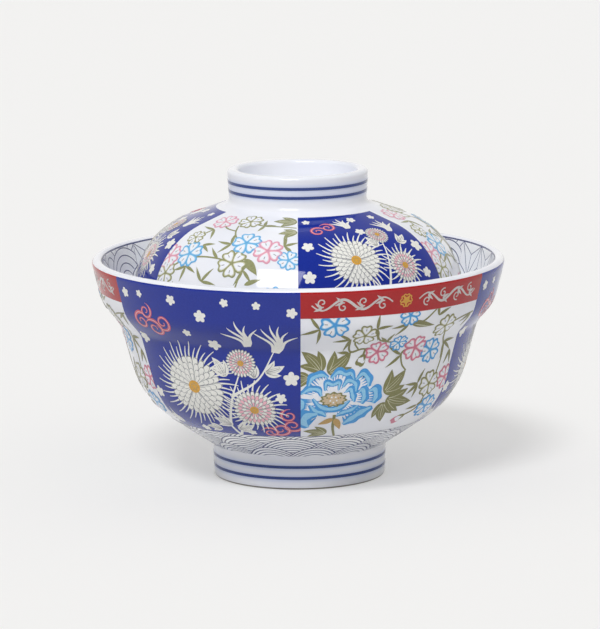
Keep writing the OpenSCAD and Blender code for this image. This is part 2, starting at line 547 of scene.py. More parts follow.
def waves(field, round_count, arcs, half):
    """Rows of wave scales from the top of a field down, as many in a row as given for a full turn."""
    across = TURN / round_count / 2
    wide = int(np.ceil(field.half / across / 2)) + 1
    arcs = np.array(arcs)[:, None]
    show = np.arctan(0.5) + np.arcsin((arcs**2 + 0.25) / (np.sqrt(5) * arcs))
    f = show * np.linspace(-1, 1, WAVE_POINTS)
    u, v = arcs * np.sin(f), arcs * np.cos(f)
    s, row = field.high, 0
    while field.way * (s - field.low) > -across * field.shape.radius(s):
        tall = across * field.shape.radius(s)
        turns = field.middle + across * (2 * np.arange(-wide, wide + 1) + row % 2)
        angle = turns[:, None, None] + across * u
        height = np.broadcast_to(s + field.way * tall * v, angle.shape)
        keep = shown(field, angle, height)
        strokes(field, "slate", angle[keep], height[keep], half)
        s, row = s - field.way * tall / 2, row + 1


def shown(field, angle, s):
    """Which lines have at least one point inside the field."""
    low, high = min(field.low, field.high), max(field.low, field.high)
    return ((np.abs(angle - field.middle) < field.half) | (field.half >= np.pi)).any(axis=-1) & (
        (s > low) & (s < high)).any(axis=-1)


print("arcs are lines of", WAVE_POINTS, "points")

# %% [markdown]
# ## Rolling waves above the foot
# Between the panels and the foot runs a band of rolling waves: broad humps with several lines
# along each, which overlap like roof tiles, printed in slate blue on a white ground. The ground is
# whiter than the glaze, as painted light for the shaded underside of the belly. Here too only
# what shows is drawn. Where one hump meets the next, and where the row below covers it, follows
# from the formula of a hump.

# %% Rolling waves
SWELL_COUNT, SWELL_FIRST = 14, np.radians(9)
SWELL_TOP, SWELL_DROP = 6.4 * MM, 24 * MM
SWELL_ROWS, SWELL_PITCH, SWELL_HALF = 9 * MM, 2.2 * MM, 0.27 * MM


def swells(field, round_count, first, top, drop, rows, pitch, half):
    """Rows of overlapping waves, each a hump y = -d w^2 with lines a pitch p apart below it.

    With w counted in waves, line j of a wave is hidden past w = 1/2 - j p / 2d by the next wave,
    and past |w| = 1/4 + (r - j p) / d by the row below, which is r lower and half a wave along.
    """
    across = TURN / round_count
    lines = int((rows + drop / 4) / pitch)
    under = pitch * np.arange(lines + 1)[:, None]
    low = 0.25 + (rows - under) / drop
    w = np.linspace(-low, np.minimum(low, 0.5 - under / drop / 2), WAVE_POINTS)[..., 0].T
    count = int(np.ceil(abs(field.high - field.low) / rows)) + 1
    grids = np.meshgrid(np.arange(count), np.arange(round_count))
    row, place = (grid.reshape(-1, 1, 1) for grid in grids)
    angle = first + across * (place + 0.5 * row + w)
    s = field.high + field.way * (top - rows * row - under - drop * w**2)
    keep = shown(field, angle, s)
    strokes(field, "slate", angle[keep], s[keep], half)
    return int(keep.sum())


wave_band = Field(bowl, bowl.rising(WAVE_FOOT), bowl.rising(PANEL_FOOT))
# painted light: the ground is whiter than the glaze, to lighten the shaded underside of the belly
for sector in sectors(bowl, wave_band.low, wave_band.high):
    ground(sector, "snow")
count = swells(wave_band, SWELL_COUNT, SWELL_FIRST, SWELL_TOP, SWELL_DROP,
               SWELL_ROWS, SWELL_PITCH, SWELL_HALF)
print("wave lines:", count)

# %% [markdown]
# ## Patterns inside the collar
# Above the ledge the collar's inside carries six patches, by turns sea waves and asanoha, the
# hemp leaf pattern, in thin slate lines on a white ground, under a line along the top. The ground
# is whiter than the glaze, as painted light for the shaded inside of the collar. Hemp leaf
# is a net of equal triangles with each triangle's middle joined to its corners, so both kinds of
# line are short straight strokes between points of one triangular grid.

# %% Hemp leaf
NET_COLUMNS, NET_POINTS, NET_HALF = 5, 13, 0.16 * MM


def hemp_leaf(field, half):
    """Edges of the triangles (i, j), (i + 1, j), (i + 1/2, j + 1), and lines to their middles."""
    side = 2 * field.half / NET_COLUMNS
    tall = side * np.sqrt(3) / 2 * field.shape.radius((field.low + field.high) / 2)
    rows = int(np.ceil(abs(field.high - field.low) / tall))
    i, j = (grid.ravel() for grid in np.meshgrid(np.arange(-1, NET_COLUMNS + 1), np.arange(rows)))
    left = np.stack([i + 0.5 * (j % 2), j + 0.0], axis=1)
    right, tip, beside = left + (1, 0), left + (0.5, 1), left + (1.5, 1)
    up, down = (left + right + tip) / 3, (right + tip + beside) / 3
    ends = [(left, right), (left, tip), (right, tip), (left, up), (right, up), (tip, up)]
    ends += [(right, down), (tip, down), (beside, down)]
    start, stop = (np.concatenate([pair[k] for pair in ends]) for k in (0, 1))
    line = start[:, None] + np.linspace(0, 1, NET_POINTS)[:, None] * (stop - start)[:, None]
    angle = field.middle - field.half + side * line[..., 0]
    s = field.high - field.way * tall * line[..., 1]
    keep = shown(field, angle, s)
    strokes(field, "slate", angle[keep], s[keep], half)


print("triangles of a net across a patch:", NET_COLUMNS)

# %% Six patches
COLLAR_TOP, COLLAR_FOOT = 85.3 * MM, 65.0 * MM
COLLAR_LINE_HALF = 0.3 * MM
SCALE_COUNT, SCALE_ARCS, SCALE_HALF = 16, (1.0, 0.79, 0.57, 0.36), 0.2 * MM
collar_top, collar_foot = bowl.falling(COLLAR_TOP), bowl.falling(COLLAR_FOOT)
# painted light: the ground is whiter than the glaze, to lighten the shaded inside of the collar
for k, patch in enumerate(sectors(bowl, collar_foot, collar_top, PANEL_HALF)):
    ground(patch, "snow")
    if k % 2:
        hemp_leaf(patch, NET_HALF)
    else:
        waves(patch, SCALE_COUNT, SCALE_ARCS, SCALE_HALF)
stripe(bowl, "slate", collar_top, COLLAR_LINE_HALF)
print("collar patches:", PANEL_COUNT)

# %% [markdown]
# ## Small motifs
# A painter builds such a panel from a few motifs: notched cherry petals, star blossoms, long
# leaves, curling stems. Each is a short formula in millimetres about its own origin, which a field
# then sets down at a place with a tilt. Leaves, petals and stems are strokes whose width swells
# and shrinks along them, blossoms are filled shapes.

# %% Petals, stars and dots
LOOP = np.linspace(0, TURN, 40, endpoint=False)
WAY = np.linspace(0, 1, 16)
PALER = {"sky": "pale_sky", "rose": "blush", "olive": "pale_olive"}
DASH_HALF = 0.15 * MM


def around(u, v, count, tilt=0.0):
    """Copies of points (u, v), turned about the origin in equal steps."""
    turn = np.radians(tilt) + TURN / count * np.arange(count)[:, None]
    return u * np.cos(turn) - v * np.sin(turn), u * np.sin(turn) + v * np.cos(turn)


def notched_petal(length, width, notch, pointed=0.47):
    """Petal with a notched tip: v = L (1 - cos t) / 2 less the notch, u = w sin t (1 - p cos t)."""
    v = length * (0.5 - 0.5 * np.cos(LOOP)) - notch * np.exp(-((LOOP - np.pi) / 0.35) ** 2)
    return width * np.sin(LOOP) * (1 - pointed * np.cos(LOOP)), v


def star_blossoms(field, spots, layer=2):
    """White blossoms at rows (across, up, radius, tilt), with five lobes R (0.62 + 0.38 |cos 2.5t|)."""
    across, up, radius, tilt = np.array(spots, float).T[..., None]
    reach = radius * (0.62 + 0.38 * np.abs(np.cos(2.5 * LOOP)))
    place = field.spot(across, up, -reach * np.sin(LOOP), reach * np.cos(LOOP), tilt)
    shapes(field, "chalk", *place, layer)


def dots(field, colour, across, up, u, v, radius, layer):
    """Round dots at points (u, v) about a place."""
    u, v = np.ravel(u)[:, None] + radius * np.cos(LOOP), np.ravel(v)[:, None] + radius * np.sin(LOOP)
    shapes(field, colour, *field.spot(across, up, u, v), layer)


def cherry(field, colour, across, up, radius, tilt, heart, layer=3):
    """Five notched petals in colour, each with a paler heart in it, a white one in that, and a dash."""
    petals = (
        (colour, 1.0, 0.385, 0.15, 0.5),
        (PALER[colour], 0.8 * heart, 0.3 * heart, 0.15, 0.55),
        ("milk", 0.67 * heart, 0.245 * heart, 0.14, 0.58),
    )
    for tone, long, wide, notch, pointed in petals:
        u, v = notched_petal(long * radius, wide * radius, notch * radius, pointed)
        away = (0.51 - long / 2) * radius
        shapes(field, tone, *field.spot(across, up, *around(u, v + away, 5, tilt)), layer)
        layer += 1
    dash = around(0 * WAY, (0.46 + 0.2 * WAY) * radius, 5, tilt)
    strokes(field, "ash", *field.spot(across, up, *dash), DASH_HALF, layer)


print("points of a petal:", len(LOOP))

# %% Leaves and stems
STEM_POINTS = 12


def blades(field, colour, across, up, length, half, tilts, bend=0.12, layer=2):
    """Tapered leaves from one place: v = L t, u = b L t^2, half width h sin(pi t^0.7)."""
    tilts = np.atleast_1d(tilts).astype(float)[:, None]
    place = field.spot(across, up, bend * length * WAY**2, length * WAY, tilts)
    strokes(field, colour, *place, half * MM * np.sin(np.pi * WAY**0.7), layer)


def stem(field, colour, places, half, layer=1, taper=0.3):
    """A smooth line through places (across, up), thinner towards its end."""
    points = np.array(places, float)
    along = np.linspace(0, chain_lengths(points)[-1], STEM_POINTS * len(points))
    across, up = smooth(points, along).T
    width = half * MM * np.linspace(1, taper, len(along))
    strokes(field, colour, *field.at(across, up), width, layer)


print("points of a leaf:", len(WAY))

# %% [markdown]
# ## Peonies and leaves
# The peony is the largest flower of the white panels. A painter sets it down with a loaded brush:
# a thick blue stroke for the edge of each petal, a paler one laid into it, and thin streaks towards
# the root, with the white of the glaze left between them. The strokes below go down in the same
# order, each through a few points, and a sand crown with an olive edge and dots closes the middle.

# %% Brush strokes of a peony
PEONY_EDGES = (
    (1.5, (-10.2, 6.2), (-8.8, 9.6), (-5.0, 10.9), (-2.4, 9.6)),
    (1.5, (-1.6, 9.2), (1.6, 12.0), (4.6, 10.8), (6.2, 11.2), (7.8, 8.4)),
    (1.6, (8.6, 8.2), (11.4, 10.6), (13.6, 8.4), (14.0, 4.6)),
    (1.5, (-12.8, 2.8), (-9.2, 4.9), (-6.0, 4.3), (-4.9, 1.6)),
    (1.3, (-3.5, 3.9), (-3.0, 7.4), (-0.6, 6.6), (1.7, 7.4), (1.7, 3.9)),
    (1.5, (3.2, 5.2), (5.6, 8.1), (8.4, 6.7), (8.9, 3.0)),
    (1.4, (4.6, 3.0), (6.4, 4.3), (7.6, 1.5), (8.3, -1.6)),
    (1.7, (10.0, 2.4), (11.4, 3.8), (12.5, 0.6), (11.5, -2.8)),
    (2.0, (14.2, 2.6), (16.8, 3.4), (17.6, 0.2), (16.4, -3.0)),
    (1.6, (-8.0, 0.6), (-4.9, -3.2), (-0.8, -4.6), (3.3, -3.5), (6.4, -0.8)),
    (1.5, (10.2, -3.4), (7.2, -5.6), (4.4, -6.4), (1.6, -8.0)),
    (2.7, (16.0, -4.8), (12.2, -6.8), (8.8, -9.6), (5.0, -13.0)),
    (1.5, (-9.2, -2.2), (-6.6, -5.2), (-4.2, -6.2), (-2.2, -8.0)),
    (3.3, (-5.8, -6.6), (-9.8, -7.8), (-11.0, -10.6), (-8.6, -14.2)),
    (1.9, (-13.6, 1.0), (-12.2, -1.6), (-13.2, -5.2)),
)
PEONY_BODY = (2.0, 0.8, 14.0, 9.6)
PEONY_STREAKS = (
    (0.12, 1.2), (0.24, 1.2), (0.36, 1.2), (0.5, 0.8), (0.64, 0.8), (0.76, 0.8), (0.88, 0.8),
)
CROWN_WIDE, CROWN_TALL, CROWN_DOT = 5.0, 3.1, 0.33


def brush_line(points, count):
    """A smooth line of a number of points through a few points (u, v)."""
    points = np.array(points)
    return smooth(points, np.linspace(0, chain_lengths(points)[-1], count)).T


def peony(field, across, up, layer=3):
    """White body, petal edges with ruffled sides in two blues, streaks to the root, and a crown.

    An edge is h sin(pi t)^0.6 (1 + 0.15 cos(18 t)) wide to either side, with t along it. A streak
    starts at a share of t and covers k (0.12 + 0.1 h) of the way to the middle.
    """
    u, v, wide, tall = PEONY_BODY
    body = u + wide * np.cos(LOOP), v + tall * np.sin(LOOP)
    shapes(field, "milk", *field.spot(across, up, *body), layer)
    t = np.linspace(0.03, 0.97, 32)
    for half, *points in PEONY_EDGES:
        u, v = brush_line(points, len(t))
        swell = half * MM * np.sin(np.pi * t) ** 0.6 * (1 + 0.15 * np.cos(18 * t))
        strokes(field, "sky", *field.spot(across, up, u, v), swell, layer + 1, 3)
        inner = field.spot(across, up, 0.96 * u, 0.96 * v)
        strokes(field, "pale_sky", *inner, 0.42 * swell, layer + 2)
        for share, long in PEONY_STREAKS:
            start = int(share * len(t))
            root = 1 - long * (0.12 + 0.1 * half) * WAY
            tip = 0.3 * half * MM * (1 - 0.9 * WAY)
            streak = field.spot(across, up, u[start] * root, v[start] * root)
            strokes(field, "sky", *streak, tip, layer + 1)
    layer += 3
    for colour, share in (("olive", 1.0), ("sand", 0.82)):
        crown = share * (1 + 0.12 * np.cos(11 * LOOP + 1.5))
        outline = CROWN_WIDE * crown * np.cos(LOOP), CROWN_TALL * crown * np.sin(LOOP)
        shapes(field, colour, *field.spot(across, up, *outline), layer)
        layer += 1
    for colour, reach, turn in (("ochre", 1.9, 0), ("milk", 1.3, 36), ("olive", 2.7, 70)):
        grains = around(np.zeros(1), np.full(1, reach), 5, turn)
        dots(field, colour, across, up, *grains, CROWN_DOT, layer)


print("petal edges of a peony:", len(PEONY_EDGES))

# %% Lobed leaves and buds
LEAF_LOBES = ((32, 0.78, 0.15, ()), (-32, 0.78, 0.15, ()), (0, 1.0, 0.2, (-0.45, 0.45)))


def lobed_leaf(field, across, up, length, tilt, tones=("olive", "pale_olive"), layer=2):
    """A leaf of three pointed lobes with paler veins: half width 3.4 w t^0.75 (1 - t)^1.05."""
    t = np.linspace(0, 1, 24)
    inner = slice(2, -5)
    for lean, share, wide, sides in LEAF_LOBES:
        half = wide * length * MM * 3.4 * t**0.75 * (1 - t) ** 1.05
        u, v = 0.06 * length * np.sin(np.pi * t), share * length * t
        strokes(field, tones[0], *field.spot(across, up, u, v, tilt + lean), half, layer, 5)
        for side in (0, *sides):
            vein = field.spot(across, up, (u + side * half / MM)[inner], v[inner], tilt + lean)
            thin = (0.17 - 0.2 * abs(side)) * MM * (1 - 0.7 * t[inner])
            strokes(field, tones[1], *vein, thin, layer + 1)


def bud(field, colour, across, up, length, tilt, layer=2):
    """A closed bud: a coloured drop, a white drop over all but its tip, and two sepals at its foot."""
    u, v = notched_petal(length, 0.3 * length, 0.1 * length)
    shapes(field, colour, *field.spot(across, up, u, v, tilt), layer)
    drop = field.spot(across, up, 0.78 * u, 0.05 * length + 0.66 * v, tilt)
    shapes(field, "milk", *drop, layer + 1)
    blades(field, "olive", across, up, 0.5 * length, 0.5, [tilt - 30, tilt + 30], layer=layer + 2)


print("lobes of a leaf:", len(LEAF_LOBES))

# %% [markdown]
# ## The white panels
# A peony with its leaves fills the lower left of each white panel on the bowl, and cherry
# blossoms in pink, blue and olive climb the rest on thin stems with narrow leaves. The lid has
# no peony, but more blossoms. They could be scattered by chance, but a painter balances a panel by
# eye. So each row below sets one motif: where it is, how large, how it leans.

# %% Rows for the bowl's white panels
BOWL_STEMS = (
    ((-0.51, 0.82), (-0.49, 0.71), (-0.35, 0.72), (-0.18, 0.69)),
    ((-0.37, 0.85), (-0.45, 0.78), (-0.40, 0.72)), ((-0.34, 0.66), (-0.32, 0.71), (-0.18, 0.69)),
    ((-0.26, 0.90), (-0.20, 0.80), (-0.10, 0.77), (0.05, 0.75)),
    ((0.29, 0.69), (0.12, 0.65), (0.15, 0.58), (0.22, 0.53)),
    ((0.58, 0.85), (0.68, 0.76), (0.76, 0.62), (0.72, 0.42)), ((0.08, 0.94), (0.21, 0.92), (0.38, 1.0)),
    ((0.40, 0.16), (0.59, 0.23), (0.64, 0.38)), ((0.58, 0.85), (0.80, 0.90), (0.98, 0.92)),
)
BOWL_CHERRIES = (
    ("sky", -0.68, 0.95, 6.1, 12), ("olive", -0.37, 0.85, 5.2, 0), ("rose", -0.18, 0.69, 5.3, 20),
    ("sky", 0.05, 0.75, 4.1, 30), ("rose", 0.29, 0.69, 5.9, 54), ("sky", 0.53, 0.65, 5.6, 20),
    ("sky", 0.07, 0.98, 4.8, 0), ("olive", 0.58, 0.85, 5.9, 33), ("olive", 0.64, 0.40, 5.9, 8),
    ("rose", 0.94, 0.42, 5.5, 44), ("sky", 0.76, 0.21, 5.9, 25),
)
BOWL_HEARTS = {"sky": 0.91, "rose": 0.91, "olive": 1.0}
BOWL_BLADES = (
    (-0.82, 0.92, 7.0, (115, 180, 40)), (-0.51, 0.82, 6.0, (105, 170, 62)),
    (-0.26, 0.90, 5.8, (-75, -159, 3)), (0.74, 0.69, 6.2, (-80, -173, -120)),
    (-0.10, 0.77, 4.2, (-18, 55)), (0.07, 0.92, 6.4, (110, 149)), (0.12, 0.65, 7.0, (134, 64)),
    (0.44, 0.42, 5.6, (-18, 95, 138, 175)), (0.94, 0.92, 6.0, (130, 170)), (0.42, 0.95, 6.0, (-60, 15)),
    (0.90, 0.62, 5.5, (165, 205)), (-0.50, 0.70, 4.0, (95, 150)), (0.56, 0.24, 5.0, (-60, 110)),
)
BOWL_LEAVES = (
    (-0.78, 0.57, 11.4, 42), (-0.71, 0.56, 12.0, -46), (-0.90, 0.52, 8, 98), (-0.03, 0.39, 12.2, -46),
    (0.03, 0.34, 12.6, -103), (0.0, 0.31, 10.4, 190), (-0.66, 0.04, 9, 76),
)
BOWL_BROAD = (
    ("olive", 0.08, 0.93, 13, 1.5, -106, -0.05), ("pale_olive", 0.14, 0.91, 8, 0.22, -106, -0.05, 3),
    ("ochre", -0.61, 0.205, 6.0, 1.2, 126, 0.12, 6), ("ochre", -0.59, 0.205, 7.2, 1.3, 210, 0.12, 6),
)
BOWL_BUDS = (("rose", 0.42, 0.17, 6.5, 129), ("olive", -0.32, 0.68, 5.6, 155))
print("bowl:", len(BOWL_CHERRIES), "blossoms,", len(BOWL_STEMS), "stems in a panel")

# %% Rows for the lid's white panels
LID_STEMS = (
    ((-0.92, 0.30), (-0.56, 0.44), (-0.09, 0.47), (0.16, 0.44)),
    ((0.16, 0.44), (0.36, 0.44), (0.31, 0.39), (0.24, 0.24)),
    ((0.24, 0.63), (0.01, 0.69), (-0.08, 0.76), (-0.14, 0.84)),
    ((0.02, 0.91), (0.37, 0.86), (0.58, 0.86), (0.98, 0.84)), ((0.81, 0.61), (0.80, 0.72), (0.98, 0.78)),
    ((0.81, 0.61), (0.90, 0.56), (0.87, 0.49)), ((-0.53, 0.75), (-0.62, 0.68), (-0.70, 0.62)),
    ((-0.53, 0.87), (-0.32, 0.79), (-0.08, 0.76)), ((0.30, 0.0), (0.0, 0.10), (-0.30, 0.12)),
)
LID_CHERRIES = (
    ("sky", 0.24, 0.63, 6.2, 12), ("rose", 0.59, 0.56, 6.2, 22), ("sky", 0.88, 0.48, 4.6, 50),
    ("olive", 0.14, 0.44, 6.4, 36), ("sky", -0.58, 0.48, 6.2, 8), ("rose", -0.93, 0.43, 5.9, 30),
    ("rose", -0.53, 0.87, 5.4, 5), ("olive", 0.02, 0.91, 5.2, 25), ("olive", -0.70, 0.63, 4.2, 36),
    ("olive", -0.86, 0.30, 5.6, 14), ("sky", 0.72, 0.17, 6.0, 48), ("rose", -0.30, 0.10, 6.0, 0),
)
LID_HEARTS = {"sky": 1.0, "rose": 1.0, "olive": 1.0}
LID_BLADES = (
    (-0.54, 0.38, 5.8, (120, 180, -104)), (-0.22, 0.28, 6.2, (43, -28, -90)), (-0.09, 0.47, 6.0, 52),
    (-0.45, 0.57, 5.0, (-70, -116)), (0.01, 0.61, 5.8, (90, 146, 16)), (0.31, 0.39, 6.2, (162, -135)),
    (0.81, 0.61, 5.0, (-64, -137, 0)), (0.37, 0.86, 4.0, (-75, 167, 10)), (-0.53, 0.75, 6.0, (90, -145)),
    (0.02, 0.12, 6.5, (60, 20, -40)), (-0.62, 0.12, 6.5, (20, -60, 140)), (0.40, 0.04, 5.0, (60, -60)),
)
LID_LEAVES = ((0.98, 0.92, 8.8, 85), (0.99, 0.77, 7.2, 98), (-0.98, 0.16, 8, -80))
LID_BROAD = (("olive", 0.30, 0.48, 9, 1.7, -130), ("olive", 0.36, 0.28, 6.6, 0.9, -62))
print("lid:", len(LID_CHERRIES), "blossoms,", len(LID_STEMS), "stems in a panel")

# %% Flowers of the white panels
BOWL_STEM_HALF, LID_STEM_HALF, STEM_TAPER = 0.42, 0.4, 0.7
BLADE_SHARE, BLADE_HALF = 1.1, 0.62
PEONY_PLACE = (-0.63, 0.365)
CALYX_STEM, CALYX_HALF = ((-0.60, 0.24), (-0.59, 0.12), (-0.53, 0.0)), 0.6


def climbing_flowers(field, half, stems, narrow, lobed, broad, blossoms, hearts):
    """One motif for each row: stems, then narrow, lobed and broad leaves, then blossoms."""
    for places in stems:
        stem(field, "olive", places, half, taper=STEM_TAPER)
    for across, up, length, tilts in narrow:
        blades(field, "olive", across, up, BLADE_SHARE * length, BLADE_HALF, tilts)
    for place in lobed:
        lobed_leaf(field, *place)
    for row in broad:
        blades(field, *row)
    for colour, *place in blossoms:
        cherry(field, colour, *place, hearts[colour])


for panel in bowl_white:
    climbing_flowers(panel, BOWL_STEM_HALF, BOWL_STEMS, BOWL_BLADES, BOWL_LEAVES, BOWL_BROAD,
                     BOWL_CHERRIES, BOWL_HEARTS)
    peony(panel, *PEONY_PLACE)
    stem(panel, "olive", CALYX_STEM, CALYX_HALF, 5, STEM_TAPER)
    for row in BOWL_BUDS:
        bud(panel, *row)
for panel in lid_white:
    climbing_flowers(panel, LID_STEM_HALF, LID_STEMS, LID_BLADES, LID_LEAVES, LID_BROAD,
                     LID_CHERRIES, LID_HEARTS)
print("white panels:", len(bowl_white) + len(lid_white))

# %% [markdown]
# ## Chrysanthemums on cobalt
# The cobalt panels hold a spray of chrysanthemums in off-white with grey outlines. Thread petals
# ring the larger heads, curved stems carry them among lobed leaves, and grass plumes, curling
# clouds in coral and small star blossoms fill the rest. A head could be a disc with lines on it,
# but real petals overlap ring by ring. So every petal is a stroke with a rounded tip, drawn twice:
# a grey one, and a narrower white one over it.

# %% Chrysanthemum heads and threads
HEAD_RINGS = ((26, 1.0, 0.115), (21, 0.8, 0.11), (16, 0.6, 0.1), (11, 0.42, 0.085))
HEAD_CORE, PETAL_LINE = 0.15, 0.2 * MM
THREAD_HALF = 0.42 * MM


def chrysanthemum(field, across, up, radius, colours, layer=5):
    """Rings of round-tipped petals about a gold middle.

    The half width is w (0.4 + 0.6 t), times sqrt(1 - ((t - 0.7) / 0.3)^2) past t = 0.7.
    """
    t = np.linspace(0, 1, 18)
    tip = np.sqrt(np.clip(1 - (np.clip(t - 0.7, 0, None) / 0.3) ** 2, 0, 1))
    for (count, reach, width), colour in zip(HEAD_RINGS, colours):
        u, v = around(0 * t, radius * (HEAD_CORE + (reach - HEAD_CORE) * t), count)
        half = radius * width * MM * (0.4 + 0.6 * t) * tip
        angle, s = field.spot(across, up, u, v)
        strokes(field, "ash", angle, s, half, layer)
        strokes(field, colour, angle[:, :-1], s[:, :-1], half[:-1] - PETAL_LINE, layer + 1)
        layer += 2
    dots(field, "gold", across, up, 0, 0, 0.2 * radius, layer)
    grains = around(np.zeros(1), np.full(1, 0.1 * radius), 7)
    dots(field, "ochre", across, up, *grains, 0.035 * radius, layer + 1)


def threads(field, across, up, inner, outer, count, layer=4):
    """Thread petals all round a head: v = inner + R t, u = 0.22 R t^2, every second one shorter."""
    tilts = np.linspace(0, 360, count, endpoint=False)[:, None]
    reach = (outer - inner) * np.where(np.arange(count) % 2, 0.7, 1.0)[:, None]
    place = field.spot(across, up, 0.22 * reach * WAY**2, inner + reach * WAY, tilts)
    strokes(field, "chalk", *place, THREAD_HALF * (1 - 0.7 * WAY), layer)


print("petals of a head:", sum(count for count, *_ in HEAD_RINGS))

# %% Plumes and clouds
PRONG_HALF = 0.6 * MM
CURL_POINTS = 44


def plume(field, across, up, length, tilt, prongs, layer=2):
    """A grass plume: waved white prongs from one foot, each longer in the middle."""
    for lean in np.linspace(-1, 1, prongs):
        reach = length * (1 - 0.35 * abs(lean))
        u = 0.09 * length * np.sin(TURN * 0.8 * WAY + lean) + 0.55 * length * lean * WAY**1.3
        half = PRONG_HALF * np.sin(np.pi * (0.15 + 0.85 * WAY)) ** 0.7
        strokes(field, "chalk", *field.spot(across, up, u, reach * WAY, tilt), half, layer)


def cloud_curl(field, across, up, radius, tilt, hand, layer=2):
    """A curl of cloud: a spiral r = R (1 - 0.85 t) over one and a half turns, thinner inwards."""
    t = np.linspace(0, 1, CURL_POINTS)
    turn = hand * 1.5 * TURN * t
    reach = radius * (1 - 0.85 * t)
    half = 0.2 * radius * MM * (1 - 0.75 * t) * np.clip(8 * t, 0.1, 1)
    place = field.spot(across, up, reach * np.cos(turn), reach * np.sin(turn), tilt)
    for colour, share in (("coral", 1.0), ("blush", 0.2)):
        strokes(field, colour, *place, share * half, layer)
        layer += 1


print("points of a curl of cloud:", CURL_POINTS)

# %% Rows for the bowl's cobalt panels
WHITES, PINKS = 4 * ("chalk",), ("chalk", "blush", "chalk", "blush")
BOWL_HEADS = ((0.36, 0.53, 6, PINKS, 0), (-0.26, 0.36, 13, WHITES, 19.5), (0.46, 0.24, 8.5, PINKS, 13))
BOWL_SPRAY_STEMS = (
    ((0.14, 0.0), (0.06, 0.12), (-0.12, 0.24)), ((0.14, 0.0), (0.28, 0.12), (0.44, 0.20)),
    ((0.08, 0.10), (0.22, 0.32), (0.36, 0.50)), ((0.22, 0.32), (0.58, 0.46), (0.74, 0.62)),
)
BOWL_SPRAY_LEAVES = (
    (0.10, 0.10, 8, 62), (0.16, 0.07, 8, -66), (0.62, 0.48, 8, -70), (0.16, 0.44, 9, 30),
    (0.50, 0.44, 7, 20), (-0.10, 0.05, 7, 80),
)
BOWL_PLUMES = ((0.74, 0.60, 15, -8, 6), (0.46, 0.64, 13, 10, 5), (-0.80, 0.06, 10, 60, 5))
BOWL_CLOUDS = (
    (-0.72, 0.76, 4.4, 20, 1), (-0.56, 0.72, 4.6, 150, -1), (-0.42, 0.77, 4.0, 200, 1),
    (-0.62, 0.83, 3.4, 80, -1), (0.74, 0.08, 4.4, 200, 1), (0.90, 0.12, 4.2, 30, -1),
    (0.60, 0.05, 3.6, 160, -1), (0.86, 0.20, 3.4, 80, 1),
)
BOWL_STARS = (
    (-0.88, 0.92, 2.1, 10), (-0.26, 0.92, 2.2, 30), (0.04, 0.84, 2.6, 0), (0.30, 0.93, 1.8, 20),
    (0.92, 0.88, 2.2, 50), (-0.16, 0.72, 1.9, 12), (0.10, 0.64, 2.8, 40), (0.90, 0.44, 3.1, 0),
    (-0.90, 0.62, 2.8, 25), (0.78, 0.32, 2.2, 33), (-0.40, 0.04, 2.1, 5), (0.34, 0.04, 1.8, 18),
    (-0.92, 0.28, 2.6, 8), (-0.66, 0.93, 1.6, 48), (0.60, 0.92, 1.7, 0),
)
print("bowl:", len(BOWL_HEADS), "heads,", len(BOWL_STARS), "star blossoms in a panel")

# %% Rows for the lid's cobalt panels
LID_HEADS = ((0.30, 0.68, 4.8, PINKS, 0), (-0.24, 0.46, 10, WHITES, 15), (0.44, 0.38, 6.5, PINKS, 10))
LID_SPRAY_STEMS = (
    ((0.10, 0.0), (0.06, 0.16), (-0.12, 0.34)), ((0.10, 0.0), (0.28, 0.20), (0.42, 0.34)),
    ((0.08, 0.14), (0.22, 0.42), (0.30, 0.64)),
)
LID_SPRAY_LEAVES = (
    (0.12, 0.16, 7, 50), (0.20, 0.14, 7, -66), (0.56, 0.58, 6.5, -60), (0.16, 0.56, 6.5, 24),
)
LID_PLUMES = ((0.62, 0.70, 9, -12, 5), (-0.10, 0.80, 8, 6, 5), (-0.74, 0.12, 9, 50, 5))
LID_CLOUDS = (
    (-0.66, 0.78, 3.2, 20, 1), (-0.46, 0.83, 3.2, 150, -1), (0.66, 0.12, 3.8, 200, 1),
    (0.84, 0.18, 3.6, 30, -1),
)
LID_STARS = (
    (-0.84, 0.92, 1.6, 5), (0.14, 0.92, 1.9, 22), (0.70, 0.92, 1.6, 40), (0.86, 0.52, 2.8, 10),
    (-0.86, 0.60, 2.4, 30), (-0.86, 0.34, 2.6, 0), (0.06, 0.74, 2.1, 18), (0.78, 0.30, 2.2, 52),
    (-0.36, 0.10, 2.2, 12), (0.40, 0.06, 2.1, 33),
)
print("lid:", len(LID_HEADS), "heads,", len(LID_STARS), "star blossoms in a panel")

# %% Sprays of the cobalt panels
SPRAY_STEM_HALF = 0.6
THREAD_ROOT, THREADS_PER_MM = 0.8, 3.6


def spray(field, heads, stems, leaves, plumes, clouds, stars):
    """Stars, clouds and plumes of a cobalt panel, then stems with their leaves, then the heads."""
    star_blossoms(field, stars)
    for place in clouds:
        cloud_curl(field, *place)
    for place in plumes:
        plume(field, *place)
    for places in stems:
        stem(field, "chalk", places, SPRAY_STEM_HALF)
    for place in leaves:
        lobed_leaf(field, *place, ("chalk", "ash"))
    for across, up, radius, colours, fringe in heads:
        if fringe:
            threads(field, across, up, THREAD_ROOT * radius, fringe, int(THREADS_PER_MM * radius))
        chrysanthemum(field, across, up, radius, colours)


for panel in bowl_blue:
    spray(panel, BOWL_HEADS, BOWL_SPRAY_STEMS, BOWL_SPRAY_LEAVES, BOWL_PLUMES, BOWL_CLOUDS, BOWL_STARS)
for panel in lid_blue:
    spray(panel, LID_HEADS, LID_SPRAY_STEMS, LID_SPRAY_LEAVES, LID_PLUMES, LID_CLOUDS, LID_STARS)
print("cobalt panels:", len(bowl_blue) + len(lid_blue))

# %% [markdown]
# ## The red bands
# A five-petalled blossom in gold lines sits in the middle of each red band, and a silvery vine with
# curled leaves runs out from it to both sides. It could be drawn point by point, but then its two
# sides would differ. So the vine is one waved stroke, and its curls are spirals that spring from
# the wave's crests, mirrored left and right.

